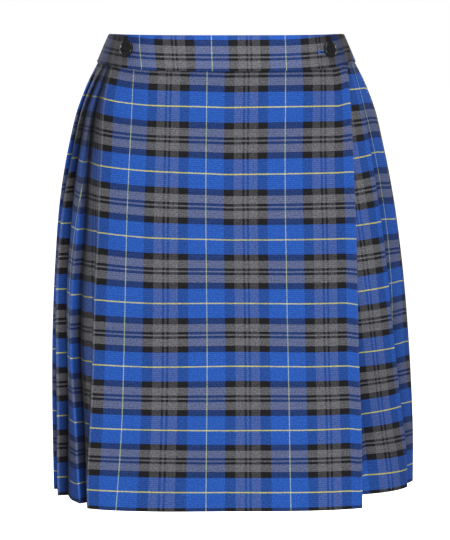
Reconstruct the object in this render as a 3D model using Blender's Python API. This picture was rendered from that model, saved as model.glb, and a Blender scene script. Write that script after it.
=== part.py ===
"""A knee-length wrap kilt of tartan cloth, filled out as when it is worn.

One long length of cloth goes round the body clockwise as seen from above: a flat outer
apron with its free edge at +X, a pressed fold at the front left, knife pleats round the
left side, the back and the right side, and a flat under apron inside the outer one.
A waistband runs round the top in the same way, and two buttons hold it.
The front faces -Y. The origin is the middle of the waist, halfway up the band.
"""

from functools import lru_cache
from math import cos, pi, radians, sin

import bmesh
import bpy
import numpy as np
from mathutils import Matrix, Vector

# Walls and gaps, in metres
CLOTH_WALL = 0.0011
BAND_WALL = 0.003
SEAM_GAP = 0.0003
BAND_GAP = 0.0006

# The hollow form under the cloth: superellipse rings, narrowest first
RING_COLUMNS = (
    "height", "half_width", "front_depth", "back_depth", "front_corner", "back_corner", "shift_x",
)
RINGS = (
    (0.024, 0.1300, 0.095, 0.090, 2.2, 2.2, 0.000),
    (-0.008, 0.1440, 0.099, 0.096, 2.2, 2.2, 0.000),
    (-0.030, 0.1550, 0.104, 0.101, 2.3, 2.2, 0.000),
    (-0.060, 0.1670, 0.110, 0.108, 2.4, 2.2, 0.000),
    (-0.100, 0.1770, 0.116, 0.117, 2.5, 2.3, 0.000),
    (-0.160, 0.1880, 0.124, 0.125, 2.7, 2.3, 0.001),
    (-0.230, 0.1960, 0.130, 0.129, 2.8, 2.3, 0.003),
    (-0.310, 0.2015, 0.136, 0.132, 3.0, 2.3, 0.005),
    (-0.390, 0.2045, 0.140, 0.134, 3.1, 2.3, 0.007),
    (-0.492, 0.2045, 0.142, 0.135, 3.2, 2.3, 0.008),
)
RING_STEPS = 360
SLOPE_REACH = 0.002  # half the chord that gives a ring's direction

# Folds, as lengths along the ring from the front centre, at shares of the drop below the
# waist seam. The first three are on the left, the next two on the right. Tuck is how far a
# valley lies under its fold, and valley is how deep it lies inside the ring.
FOLD_COLUMNS = (
    "drop", "left_fold", "second_fold", "third_fold", "last_fold", "apron_edge",
    "tuck", "valley", "kick",
)
FOLDS = (
    (0.00, 0.135, 0.142, 0.153, 0.177, 0.146, 0.014, 0.0060, 0.000),
    (0.06, 0.139, 0.152, 0.170, 0.176, 0.143, 0.012, 0.0065, 0.000),
    (0.20, 0.140, 0.164, 0.191, 0.180, 0.142, 0.006, 0.0090, 0.000),
    (0.35, 0.1425, 0.172, 0.211, 0.1835, 0.141, 0.002, 0.0120, 0.001),
    (0.50, 0.1475, 0.182, 0.224, 0.1895, 0.140, 0.000, 0.0130, 0.002),
    (0.65, 0.150, 0.185, 0.219, 0.193, 0.139, -0.001, 0.0130, 0.004),
    (0.80, 0.1535, 0.180, 0.217, 0.2005, 0.140, -0.002, 0.0120, 0.007),
    (0.95, 0.157, 0.176, 0.220, 0.213, 0.141, -0.002, 0.0115, 0.009),
    (1.00, 0.157, 0.174, 0.220, 0.214, 0.141, -0.002, 0.0110, 0.009),
)
LEVELS = (0.0, 0.03, 0.07, 0.13, 0.21, 0.31, 0.43, 0.56, 0.70, 0.85, 1.0)
PLEATS = 22  # outer folds from the second fold to the last one
APRON_BENDS = 14  # plain bends across the outer apron
UNDER_BENDS = 10  # and across the under apron
THIRD_SHARE = 0.191  # of the way round, where the third fold would lie if it were straight
LAST_SHARE_TOP, LAST_SHARE_HEM = 0.7725, 0.8125
FREE_PLEATS = 4  # over how many pleats the fold lines straighten out
KICK_REACH = 0.060  # how far from the left fold the apron starts to stand out

# Heights of the seam, the band's top edge and the hem
SEAM_FRONT, SEAM_BACK, SEAM_SIDE_RISE = -0.0205, -0.0145, 0.0085
TOP_FRONT, TOP_BACK, TOP_SIDE_RISE = 0.0185, 0.0220, 0.0020
HEM = -0.4915
HEM_RISE_COLUMNS = ("round", "rise")
HEM_RISE = (
    (0.00, 0.000), (0.14, 0.000), (0.17, 0.002), (0.20, 0.001), (0.30, 0.002), (0.50, 0.004),
    (0.68, 0.009), (0.77, 0.011), (0.81, 0.0125), (0.87, 0.014), (1.00, 0.014), (1.20, 0.014),
)

# Where the cloth is cut: after how many pleats, and how far across the next face
CUT_LEFT_BACK, CUT_BACK, CUT_BACK_RIGHT = 5, 10, 16
CUT_SHARE = 0.7
TURN_SHARE = 0.5  # the apron is cut inside the turn of its fold
UNDER_SHARE = 0.02  # the under apron starts just past its seam

# Insets from the ring, positive inwards
APRON_INSET = -0.0005
LAP_INSET = 0.0030  # where the last face goes under the apron's edge
LAP_BENDS = (0.35, 0.70)  # shares of the last face, which sinks evenly towards that edge
EDGE_BENDS = 2  # at the outer apron's edge and on the way to the inner apron
UNDER_INSET = 0.0038
UNDER_END = 0.122  # the under apron's own edge, left of the front centre
UNDER_SEAM = 0.100  # where it joins the last face, right of the front centre

# Waistband: its outer end, the stretch over which it steps inside, and its inner end
BAND_END = 0.148
BAND_STEP, BAND_STEP_CLEAR = 0.030, 0.006
BAND_INSET, BAND_UNDER_INSET = 0.0, 0.0040
BAND_UNDER_END = 0.128
BAND_HEIGHTS = (1.0, 0.5, 0.0)
BAND_BENDS, BAND_STEP_BENDS, BAND_UNDER_BENDS = 43, 3, 17

# Buttons
BUTTON_RADIUS = 0.0090
BUTTON_THICK = 0.0032
BUTTON_RIM = 0.0018
BUTTON_DISH = 0.0009
BUTTON_HOLE_RADIUS = 0.0010
BUTTON_HOLE_PITCH = 0.0042
BUTTON_STAND = 0.0008
BUTTON_SIDES, BUTTON_HOLE_SIDES = 32, 12
BUTTON_TILT_REACH = 0.01  # the height over which the band's slope is taken
# Name, travel from the front centre, height
BUTTONS = (("button_left", 0.1135, 0.0035), ("button_right", -0.1190, 0.0030))


def read(table, columns, name, at):
    """The named column at a value of the first column, on a smooth curve through the rows."""
    rows = np.array(table)
    key, value = rows[:, 0], rows[:, columns.index(name)]
    if key[0] > key[-1]:
        key, value = key[::-1], value[::-1]
    slope = np.gradient(value, key)
    at = min(max(at, key[0]), key[-1])
    i = min(max(int(np.searchsorted(key, at)) - 1, 0), len(key) - 2)
    step = key[i + 1] - key[i]
    t = (at - key[i]) / step
    return float(
        (2 * t**3 - 3 * t**2 + 1) * value[i]
        + (t**3 - 2 * t**2 + t) * step * slope[i]
        + (3 * t**2 - 2 * t**3) * value[i + 1]
        + (t**3 - t**2) * step * slope[i + 1]
    )


def power(value, exponent):
    return np.sign(value) * np.abs(value) ** exponent


@lru_cache(maxsize=None)
def ring(tenths):
    """Points clockwise from the front centre at a height in tenths of a millimetre, and arcs."""
    height = tenths / 10000
    half, front, back, front_n, back_n, shift = (
        read(RINGS, RING_COLUMNS, name, height) for name in RING_COLUMNS[1:]
    )
    turn = np.linspace(0.0, 2 * pi, RING_STEPS + 1)
    is_front = np.cos(turn) > 0
    corner = np.where(is_front, front_n, back_n)
    depth = np.where(is_front, front, back)
    x = shift - half * power(np.sin(turn), 2 / corner)
    y = -depth * power(np.cos(turn), 2 / corner)
    arc = np.concatenate([[0.0], np.cumsum(np.hypot(np.diff(x), np.diff(y)))])
    return x, y, arc


def perimeter(height):
    return float(ring(round(height * 10000))[2][-1])


def on_form(travel, height, inset=0.0):
    """The point a clockwise length from the front centre, moved inwards by the inset."""
    x, y, arc = ring(round(height * 10000))
    total = arc[-1]

    def point(at):
        at %= total
        return np.array([np.interp(at, arc, x), np.interp(at, arc, y)])

    along = point(travel + SLOPE_REACH) - point(travel - SLOPE_REACH)
    along /= np.linalg.norm(along)
    outward = np.array([-along[1], along[0]])
    return point(travel) - inset * outward, outward


def side_share(round_share):
    return abs(sin(2 * pi * round_share)) ** 5


def seam_height(round_share):
    blend = (1 - cos(2 * pi * round_share)) / 2
    return SEAM_FRONT + (SEAM_BACK - SEAM_FRONT) * blend + SEAM_SIDE_RISE * side_share(round_share)


def top_height(round_share):
    blend = (1 - cos(2 * pi * round_share)) / 2
    return TOP_FRONT + (TOP_BACK - TOP_FRONT) * blend + TOP_SIDE_RISE * side_share(round_share)


def cloth_point(travel, drop, inset):
    """A point of the cloth from its travel round the ring and its share of the drop."""
    height = SEAM_FRONT + (HEM - SEAM_FRONT) * drop
    for _ in range(3):
        share = travel / perimeter(height)
        rise = read(HEM_RISE, HEM_RISE_COLUMNS, "rise", max(share, 0.0))
        seam = seam_height(share) - BAND_GAP
        height = seam + (HEM + rise - seam) * drop
    spot, _ = on_form(travel, height, inset)
    return (spot[0], spot[1], height)


def fold(name, drop):
    return read(FOLDS, FOLD_COLUMNS, name, drop)


def pleat_edges(drop, total, last):
    """Travels of the third fold to the last one: evenly spread round the ring, except that
    those next to the apron follow their own lines at both ends."""
    count = PLEATS - 2
    first_share = THIRD_SHARE
    last_share = LAST_SHARE_TOP + (LAST_SHARE_HEM - LAST_SHARE_TOP) * drop
    lead = fold("third_fold", drop) - first_share * total
    trail = last - last_share * total
    edges = []
    for i in range(count + 1):
        share = first_share + (last_share - first_share) * i / count
        near_first = max(0.0, 1 - i / FREE_PLEATS)
        near_last = max(0.0, 1 - (count - i) / FREE_PLEATS)
        edges.append(share * total + lead * near_first + trail * near_last)
    return edges


def cloth_line(drop):
    """The whole cloth at one share of the drop: (travel, inset, kind) along it, in order."""
    total = perimeter(SEAM_FRONT + (HEM - SEAM_FRONT) * drop)
    tuck, valley, kick = fold("tuck", drop), fold("valley", drop), fold("kick", drop)
    left, edge = fold("left_fold", drop), fold("apron_edge", drop)
    line = []
    for i in range(APRON_BENDS):
        travel = -edge + (left + edge) * i / APRON_BENDS
        near = max(0.0, 1 - (left - travel) / KICK_REACH)
        line.append((travel, APRON_INSET - kick * near**1.5, "bend"))
    line.append((left, APRON_INSET - kick, "outer"))

    last = total - fold("last_fold", drop)
    edges = [fold("second_fold", drop)] + pleat_edges(drop, total, last)
    for travel in edges:
        line.append((travel + tuck, valley, "inner"))
        line.append((travel, 0.0, "outer"))

    lap = total - edge
    seam, end = total - UNDER_SEAM, total + UNDER_END
    for share in LAP_BENDS:
        line.append((last + (lap - last) * share, LAP_INSET * share, "bend"))
    line.append((lap, LAP_INSET, "bend"))
    line.append(((lap + seam) / 2, (LAP_INSET + UNDER_INSET) / 2, "bend"))
    for i in range(UNDER_BENDS + 1):
        line.append((seam + (end - seam) * i / UNDER_BENDS, UNDER_INSET, "bend"))
    return line


def left_normal(a, b):
    d = np.array(b[:2]) - np.array(a[:2])
    d /= np.linalg.norm(d)
    return np.array([-d[1], d[0]])


def two_sides(points, kinds, wall):
    """The outer and inner chains of a wall along points. A fold has two points outside its
    bend and one inside, so that its edge is as thick as two layers."""
    half = wall / 2
    outer, inner = [], []
    for i, (spot, kind) in enumerate(zip(points, kinds)):
        before = left_normal(points[i - 1], spot) if i else None
        after = left_normal(spot, points[i + 1]) if i < len(points) - 1 else None
        before = after if before is None else before
        after = before if after is None else after
        mitre = (before + after) / (1 + float(before @ after))
        flat = np.array(spot[:2])

        def at(offset):
            return (*(flat + offset * half), spot[2])

        if kind == "outer":
            outer.append([at(before), at(after)])
            inner.append([at(-mitre)])
        elif kind == "inner":
            outer.append([at(mitre)])
            inner.append([at(-before), at(-after)])
        else:
            outer.append([at(mitre)])
            inner.append([at(-mitre)])
    return outer, inner


def wall_mesh(name, levels):
    """A closed wall from levels of (points, kinds, wall), top first."""
    bm = bmesh.new()
    rows = []
    for points, kinds, wall in levels:
        outer, inner = two_sides(points, kinds, wall)
        rows.append(
            (
                [[bm.verts.new(p) for p in group] for group in outer],
                [[bm.verts.new(p) for p in group] for group in inner],
            )
        )
    flat = [([v for g in o for v in g], [v for g in n for v in g]) for o, n in rows]
    for (upper_o, upper_n), (lower_o, lower_n) in zip(flat, flat[1:]):
        for i in range(len(upper_o) - 1):
            bm.faces.new((upper_o[i], lower_o[i], lower_o[i + 1], upper_o[i + 1]))
        for i in range(len(upper_n) - 1):
            bm.faces.new((upper_n[i], upper_n[i + 1], lower_n[i + 1], lower_n[i]))
        bm.faces.new((upper_o[0], upper_n[0], lower_n[0], lower_o[0]))
        bm.faces.new((upper_o[-1], lower_o[-1], lower_n[-1], upper_n[-1]))
    for row, is_top in ((rows[0], True), (rows[-1], False)):
        outer, inner = row
        for i in range(len(outer)):
            corner = outer[i] + inner[i]
            if len(corner) == 3:
                bm.faces.new(corner)
            if i < len(outer) - 1:
                strip = (outer[i][-1], outer[i + 1][0], inner[i + 1][0], inner[i][-1])
                bm.faces.new(strip if is_top else strip[::-1])
    bmesh.ops.triangulate(bm, faces=[f for f in bm.faces if len(f.verts) > 3])
    bmesh.ops.recalc_face_normals(bm, faces=bm.faces)
    mesh = bpy.data.meshes.new(name)
    bm.to_mesh(mesh)
    bm.free()
    return mesh


def material(name, colour, roughness):
    made = bpy.data.materials.new(name)
    made.use_nodes = True
    shader = made.node_tree.nodes["Principled BSDF"]
    shader.inputs["Base Color"].default_value = (*colour, 1.0)
    shader.inputs["Roughness"].default_value = roughness
    shader.inputs["Metallic"].default_value = 0.0
    return made


def add(name, mesh, look):
    obj = bpy.data.objects.new(name, mesh)
    mesh.materials.append(look)
    bpy.context.scene.collection.objects.link(obj)
    return obj


def between(a, b, share):
    return tuple(p + (q - p) * share for p, q in zip(a, b))


def distance(a, b):
    return float(np.linalg.norm(np.subtract(b, a)))


def cloth_piece(name, start, end, look):
    """The stretch of cloth between two places on its line, each an index with a share."""
    levels = []
    for drop in LEVELS:
        line = cloth_line(drop)
        spots = [cloth_point(travel, drop, inset) for travel, inset, _ in line]
        kinds = [kind for _, _, kind in line]
        first, last = int(start), int(end)
        points, marks = spots[first:last + 1], kinds[first:last + 1]
        if start > first:
            clear = SEAM_GAP / 2 / distance(spots[first], spots[first + 1])
            points[0] = between(spots[first], spots[first + 1], start - first + clear)
            marks[0] = "bend"
        if end > last:
            clear = SEAM_GAP / 2 / distance(spots[last], spots[last + 1])
            points.append(between(spots[last], spots[last + 1], end - last - clear))
            marks.append("bend")
        levels.append((points, marks, CLOTH_WALL))
    return add(name, wall_mesh(name, levels), look)


def waistband(look):
    """One strip that goes once round and then on inside its own outer end."""
    total = perimeter(0.0)
    start, outer_end, end = -BAND_END, total - BAND_END, total + BAND_UNDER_END
    step_start, step_end = outer_end - BAND_STEP, outer_end - BAND_STEP_CLEAR
    travels = list(np.linspace(start, step_start, BAND_BENDS + 1))
    travels += list(np.linspace(step_start, step_end, BAND_STEP_BENDS + 1))[1:]
    travels += list(np.linspace(step_end, end, BAND_UNDER_BENDS + 1))[1:]
    levels = []
    for share in BAND_HEIGHTS:
        points = []
        for travel in travels:
            part = travel / total
            low, high = seam_height(part), top_height(part)
            height = low + (high - low) * share
            inside = min(max((travel - step_start) / (step_end - step_start), 0.0), 1.0)
            inset = BAND_INSET + (BAND_UNDER_INSET - BAND_INSET) * inside
            spot, _ = on_form(part * perimeter(height), height, inset)
            points.append((spot[0], spot[1], height))
        levels.append((points, ["bend"] * len(points), BAND_WALL))
    return add("waistband", wall_mesh("waistband", levels), look)


def button_mesh(name):
    """A turned button, back at zero, with a raised rim round a shallow dish."""
    dish = BUTTON_THICK - BUTTON_DISH
    profile = (
        (0.0, dish),
        (BUTTON_RADIUS - BUTTON_RIM, dish),
        (BUTTON_RADIUS - BUTTON_RIM * 0.6, BUTTON_THICK),
        (BUTTON_RADIUS - BUTTON_RIM * 0.2, BUTTON_THICK),
        (BUTTON_RADIUS, BUTTON_THICK * 0.6),
        (BUTTON_RADIUS * 0.9, 0.0),
        (0.0, 0.0),
    )
    bm = bmesh.new()
    rings = []
    for radius, rise in profile:
        if radius == 0.0:
            rings.append([bm.verts.new((0.0, 0.0, rise))])
        else:
            turns = (2 * pi * i / BUTTON_SIDES for i in range(BUTTON_SIDES))
            rings.append([bm.verts.new((radius * cos(a), radius * sin(a), rise)) for a in turns])
    for upper, lower in zip(rings, rings[1:]):
        for i in range(BUTTON_SIDES):
            j = (i + 1) % BUTTON_SIDES
            if len(upper) == 1:
                bm.faces.new((upper[0], lower[i], lower[j]))
            elif len(lower) == 1:
                bm.faces.new((upper[i], lower[0], upper[j]))
            else:
                bm.faces.new((upper[i], lower[i], lower[j], upper[j]))
    bmesh.ops.recalc_face_normals(bm, faces=bm.faces)
    mesh = bpy.data.meshes.new(name)
    bm.to_mesh(mesh)
    bm.free()
    return mesh


def button_holes(name):
    """The cutter for the four thread holes."""
    bm = bmesh.new()
    reach = BUTTON_HOLE_PITCH / 2 * 2**0.5
    for quarter in range(4):
        angle = radians(45 + 90 * quarter)
        place = Matrix.Translation((reach * cos(angle), reach * sin(angle), BUTTON_THICK / 2))
        bmesh.ops.create_cone(
            bm, cap_ends=True, segments=BUTTON_HOLE_SIDES, radius1=BUTTON_HOLE_RADIUS,
            radius2=BUTTON_HOLE_RADIUS, depth=BUTTON_THICK * 2, matrix=place,
        )
    mesh = bpy.data.meshes.new(name)
    bm.to_mesh(mesh)
    bm.free()
    cutter = bpy.data.objects.new(name, mesh)
    bpy.context.scene.collection.objects.link(cutter)
    cutter.hide_render = True
    cutter.display_type = "WIRE"
    return cutter


def button(name, travel, height, look):
    """A button flat on the band's outer face, which leans with the form."""
    obj = add(name, button_mesh(name), look)
    spot, outward = on_form(travel, height, BAND_INSET)
    higher = height + BUTTON_TILT_REACH
    above, _ = on_form(travel * perimeter(higher) / perimeter(height), higher, BAND_INSET)
    up = Vector((*(above - spot), BUTTON_TILT_REACH)).normalized()
    sideways = up.cross(Vector((*outward, 0.0))).normalized()
    facing = sideways.cross(up)
    turn = Matrix((sideways, up, facing)).transposed().to_4x4()
    place = Vector((*spot, height)) + facing * (BAND_WALL / 2 + BUTTON_STAND)
    obj.matrix_world = Matrix.Translation(place) @ turn

    cutter = button_holes(name + "_holes")
    cutter.matrix_world = obj.matrix_world
    cut = obj.modifiers.new("holes", "BOOLEAN")
    cut.object = cutter
    cut.operation = "DIFFERENCE"
    return obj


def main():
    for obj in list(bpy.data.objects):
        bpy.data.objects.remove(obj)
    cloth = material("tartan_cloth", (0.03, 0.10, 0.40), 0.85)
    band_cloth = material("waistband_cloth", (0.05, 0.09, 0.28), 0.85)
    plastic = material("button_plastic", (0.012, 0.012, 0.014), 0.25)

    left_fold = APRON_BENDS
    last_fold = left_fold + 2 * PLEATS
    under_seam = last_fold + len(LAP_BENDS) + EDGE_BENDS + 1

    def cut(pleats):
        return left_fold + 1 + 2 * pleats + 1 + CUT_SHARE

    turn = left_fold + TURN_SHARE
    stretches = (
        ("apron_front", 0, turn),
        ("pleats_left", turn, cut(CUT_LEFT_BACK)),
        ("pleats_back_left", cut(CUT_LEFT_BACK), cut(CUT_BACK)),
        ("pleats_back_right", cut(CUT_BACK), cut(CUT_BACK_RIGHT)),
        ("pleats_right", cut(CUT_BACK_RIGHT), under_seam),
        ("apron_under", under_seam + UNDER_SHARE, under_seam + UNDER_BENDS),
    )
    for name, start, end in stretches:
        cloth_piece(name, start, end, cloth)
    waistband(band_cloth)
    for name, travel, height in BUTTONS:
        button(name, travel, height, plastic)


main()
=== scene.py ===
"""The finished look of the kilt: fine cloth shells in their tartan, the band and the buttons."""
from math import cos, pi, radians, sin

import bpy
import numpy as np
from mathutils import Matrix, Vector


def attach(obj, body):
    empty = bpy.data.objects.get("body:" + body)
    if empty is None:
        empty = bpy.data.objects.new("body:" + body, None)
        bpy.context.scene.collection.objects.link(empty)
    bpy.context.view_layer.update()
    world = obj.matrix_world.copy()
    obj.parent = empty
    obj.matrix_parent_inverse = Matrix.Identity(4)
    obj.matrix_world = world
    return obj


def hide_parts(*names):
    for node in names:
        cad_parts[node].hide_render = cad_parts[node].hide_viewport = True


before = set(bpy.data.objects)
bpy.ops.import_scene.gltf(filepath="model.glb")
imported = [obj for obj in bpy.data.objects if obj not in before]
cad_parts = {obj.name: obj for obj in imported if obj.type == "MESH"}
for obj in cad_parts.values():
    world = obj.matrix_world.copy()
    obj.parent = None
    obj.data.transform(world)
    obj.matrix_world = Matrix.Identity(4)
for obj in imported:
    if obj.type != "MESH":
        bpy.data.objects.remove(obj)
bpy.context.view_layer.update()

# ---- the form, as the CAD has it

# Height, half width, depth in front and behind, corner in front and behind, shift along x
RINGS = (
    (-0.492, 0.2045, 0.142, 0.135, 3.2, 2.3, 0.008),
    (-0.390, 0.2045, 0.140, 0.134, 3.1, 2.3, 0.007),
    (-0.310, 0.2015, 0.136, 0.132, 3.0, 2.3, 0.005),
    (-0.230, 0.1960, 0.130, 0.129, 2.8, 2.3, 0.003),
    (-0.160, 0.1880, 0.124, 0.125, 2.7, 2.3, 0.001),
    (-0.100, 0.1770, 0.116, 0.117, 2.5, 2.3, 0.000),
    (-0.060, 0.1670, 0.110, 0.108, 2.4, 2.2, 0.000),
    (-0.030, 0.1550, 0.104, 0.101, 2.3, 2.2, 0.000),
    (-0.008, 0.1440, 0.099, 0.096, 2.2, 2.2, 0.000),
    (0.024, 0.1300, 0.095, 0.090, 2.2, 2.2, 0.000),
)
FORM_TOP, FORM_BOTTOM, FORM_ROWS = 0.030, -0.500, 266
ROUND_STEPS = 720
SLOPE_REACH = 0.002

# By share of the drop: travels of the left, second and third folds, the last fold and the
# apron's free edge short of the front centre, tuck, depth of the valleys, kick of the left fold
FOLDS = (
    (0.00, 0.135, 0.142, 0.153, 0.177, 0.146, 0.014, 0.0060, 0.000),
    (0.06, 0.139, 0.152, 0.170, 0.176, 0.143, 0.012, 0.0065, 0.000),
    (0.20, 0.140, 0.164, 0.191, 0.180, 0.142, 0.006, 0.0090, 0.000),
    (0.35, 0.1425, 0.172, 0.211, 0.1835, 0.141, 0.002, 0.0120, 0.001),
    (0.50, 0.1475, 0.182, 0.224, 0.1895, 0.140, 0.000, 0.0130, 0.002),
    (0.65, 0.150, 0.185, 0.219, 0.193, 0.139, -0.001, 0.0130, 0.004),
    (0.80, 0.1535, 0.180, 0.217, 0.2005, 0.140, -0.002, 0.0120, 0.007),
    (0.95, 0.157, 0.176, 0.220, 0.213, 0.141, -0.002, 0.0115, 0.009),
    (1.00, 0.157, 0.174, 0.220, 0.214, 0.141, -0.002, 0.0110, 0.009),
)
PLEATS, SEEN_LEFT, SEEN_RIGHT = 22, 3, 2  # in all, and those that the front view shows
THIRD_SHARE = 0.191
LAST_SHARE_TOP, LAST_SHARE_HEM = 0.7725, 0.8125
FREE_PLEATS = 4
KICK_REACH, KICK_CURVE = 0.060, 1.5

# The band's seam and top: heights in front and behind, and how far they rise at the sides
SEAM, TOP = (-0.0205, -0.0145, 0.0085), (0.0185, 0.0220, 0.0020)
SIDE_CURVE = 5
BAND_GAP = 0.0006
CUT_FACES, CUT_ACROSS = (6, 11, 17), 0.7  # where the CAD cuts the pleats into lengths
HEM = -0.4915
HEM_RISE = (  # by share of the way round
    (0.00, 0.000), (0.14, 0.000), (0.17, 0.002), (0.20, 0.001), (0.30, 0.002), (0.50, 0.004),
    (0.68, 0.009), (0.77, 0.011), (0.81, 0.0125), (0.87, 0.014), (1.00, 0.014), (1.20, 0.014),
)
APRON_INSET, LAP_INSET, UNDER_INSET = -0.0005, 0.0030, 0.0038
LAP_CURVE = 1.2
UNDER_END, UNDER_SEAM = 0.122, 0.100

BAND_END = 0.148
BAND_STEP, BAND_STEP_CLEAR = 0.030, 0.006
BAND_UNDER_INSET = 0.0040
BAND_UNDER_END = 0.128
BAND_WALL, BAND_CORNER, BAND_BULGE = 0.003, 0.0013, 0.0003
BAND_FACE_POINTS, BAND_CORNER_STEPS = 10, 6
BAND_END_REACH, BAND_END_LEAST = 0.0012, 0.12  # how the strip thins at its ends
BAND_BEYOND = 0.4  # length over which its fabric is laid out past the last place
# Puckers beside the buttons: how proud, their scale along the band, where and how wide in that
# scale, and their scale up the band
PUCKER, PUCKER_SIDE, PUCKER_AT, PUCKER_WIDTH, PUCKER_RISE = 0.0006, 0.012, 1.1, 0.35, 0.004

BUTTON_RADIUS, BUTTON_THICK, BUTTON_RIM, BUTTON_DISH = 0.0090, 0.0032, 0.0018, 0.0009
BUTTON_HOLE_RADIUS, BUTTON_HOLE_PITCH, BUTTON_STAND = 0.0010, 0.0042, 0.0008
BUTTON_TILT_REACH = 0.01
BUTTON_SIDES, BUTTON_HOLE_SIDES, BUTTON_STEPS = 72, 28, 8
BUTTONS = (("left_button", 0.1135, 0.0035), ("right_button", -0.1190, 0.0030))

# The buttonhole whose end shows beside the right button, and the threads in the buttons
HOLE_FROM, HOLE_TO = -0.0040, 0.0158  # from the button's middle, along the band
HOLE_DROP, HOLE_HALF = 0.0024, 0.0014
HOLE_EDGE_RADIUS, STITCH_PITCH, STITCH_RELIEF = 0.00055, 0.0007, 0.12
# The slit is a near-black tube, a painted shadow in the hole's opening
HOLE_STEPS, SLIT_STEPS, SLIT_LEAST = 240, 60, 0.01
SLIT_ACROSS, SLIT_PROUD = 0.0013, 0.00030
THREAD_RADIUS, THREAD_STEPS = 0.00042, 15
THREAD_SUNK, THREAD_RISE = 0.0008, 0.0012
TUBE_SIDES = 10
CLOTH_SHARP, BUTTON_SHARP = radians(55), radians(40)

# ---- the cloth, as it is seen

CLOTH_HALF = 0.0005  # half the cloth's thickness
FOLD_RADIUS = 0.00065  # of the cloth's middle where it is pressed
SURFACE = 0.00055  # how far the outer face of a fold stands outside its line
MIDDLE_INSET = CLOTH_HALF - SURFACE
STITCHED_DEPTH, STITCHED_REACH = 0.38, 0.045  # share of a fold's depth left at the band
SEAM_ALLOWANCE = 0.006  # share of the drop that runs up inside the band
DROPS = 168  # rows down the cloth
FACE_STEPS, RETURN_STEPS, ARC_STEPS = 20, 6, 5
APRON_STEPS, LAP_STEPS, UNDER_STEPS = 110, 34, 74
PRESSED_STEPS, APRON_SPAN = (1.7, 0.9, 0.3), 285  # mm short of the left fold, and the width
HEM_TURN_UP, HEM_STEP = 0.030, 0.0015
EDGE_THIN = 0.55  # share of the thickness left at the hem's edge
UNEVEN, UNEVEN_TURN, UNEVEN_START = 0.10, 2.3, 0.7  # how the hidden valleys' depths differ

# How pressed edges are rubbed paler and given a painted highlight, with the shares of the drop
# where that begins and ends
PRESSED_WIDTH, FOLD_EDGE, FOLD_EDGE_LEAST = 0.0011, 0.5, 0.4
PRESS_FROM, PRESS_IN, PRESS_TO, PRESS_OUT, PRESS_LEAST = 0.02, 0.10, 0.82, 0.12, 0.12
FREE_EDGE_WEAR_AND_HIGHLIGHT, FREE_EDGE_IN = 0.5, 0.1

# How painted shade darkens the cloth into its folds
DEEP_VALLEY = 0.0085
FACE_SHADE_CURVE, RETURN_SHADE_CURVE = 2.2, 0.75
OVERHANG_SHADE, OVERHANG_REACH, OVERHANG_CURVE = 0.94, 0.0072, 1.5
# By drop: the shade behind the left fold and its reach, the reach of the shade under the folds,
# the first two valleys' strengths, the first one's spread, the crests' shade and the least shade
LEFT_SHADES = (
    (0.00, 0.70, 0.0022, 0.0105, 1.00, 1.00, 0.75, 0.90, 0.20),
    (0.20, 0.55, 0.0020, 0.0090, 1.00, 0.90, 0.75, 0.75, 0.10),
    (0.33, 0.45, 0.0016, 0.0065, 0.65, 0.50, 0.75, 0.10, 0.00),
    (0.60, 0.50, 0.0020, 0.0065, 0.65, 0.40, 0.70, 0.00, 0.00),
    (0.73, 0.70, 0.0035, 0.0072, 1.00, 0.45, 0.30, 0.00, 0.10),
    (0.85, 0.95, 0.0065, 0.0072, 1.15, 0.90, 0.20, 0.00, 0.22),
    (1.00, 0.85, 0.0060, 0.0072, 1.15, 1.00, 0.25, 0.00, 0.22),
)
CREST_REACH = 0.0026
LEFT_SHADED = 4  # folds, from the left one on, that these are for
FIRST_VALLEY, SECOND_FOLD, SECOND_VALLEY, THIRD_FOLD = 1, 2, 3, 4  # places among the pins
LAP_SHADES = (  # drop, shade, reach
    (0.00, 0.55, 0.010), (0.15, 0.35, 0.007), (0.30, 0.50, 0.004), (0.50, 0.50, 0.006),
    (0.60, 0.50, 0.012), (0.75, 0.45, 0.018), (0.90, 0.45, 0.014), (0.96, 0.20, 0.008),
    (1.00, 0.10, 0.008),
)
SEAM_SHADE, SEAM_SHADE_REACH = 0.30, 0.008
INNER_SHADE = 0.1  # share of the shade that the cloth's back has
HEM_EXTRA = 0.0007

# Where the outer apron's left, middle and right pale warp lines and its right dark stripe run, as
# lengths along the ring, by drop
WARP_PERIOD = 0.0920
WARP_LINES = (
    (0.00, 0.1027, 0.0205, -0.0640, -0.1327),
    (0.17, 0.1045, 0.0215, -0.0630, -0.1290),
    (0.39, 0.1100, 0.0238, -0.0615, -0.1278),
    (0.64, 0.1157, 0.0258, -0.0608, -0.1255),
    (0.86, 0.1217, 0.0288, -0.0608, -0.1272),
    (1.00, 0.1272, 0.0298, -0.0618, -0.1285),
)
LEFT_FOLD_WARP = WARP_PERIOD + 0.034
RIGHT_DARK_WARP = -WARP_PERIOD - 0.0713
APRON_EDGE_WARP = -WARP_PERIOD - 0.0848
# Fabric lengths by drop: after the left fold, from the first pale line, and then at the second
# valley, second fold, third valley and third fold, from the next
LEFT_WARPS = (
    (0.00, 0.0340, -0.0208, 0.0025, 0.0208, 0.0348),
    (0.25, 0.0350, -0.0210, 0.0020, 0.0208, 0.0348),
    (0.40, 0.0420, -0.0250, -0.0050, 0.0208, 0.0348),
    (0.66, 0.0530, -0.0255, -0.0050, 0.0208, 0.0348),
    (0.85, 0.0600, -0.0240, -0.0090, 0.0208, 0.0348),
    (1.00, 0.0630, -0.0240, -0.0090, 0.0208, 0.0348),
)
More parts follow.
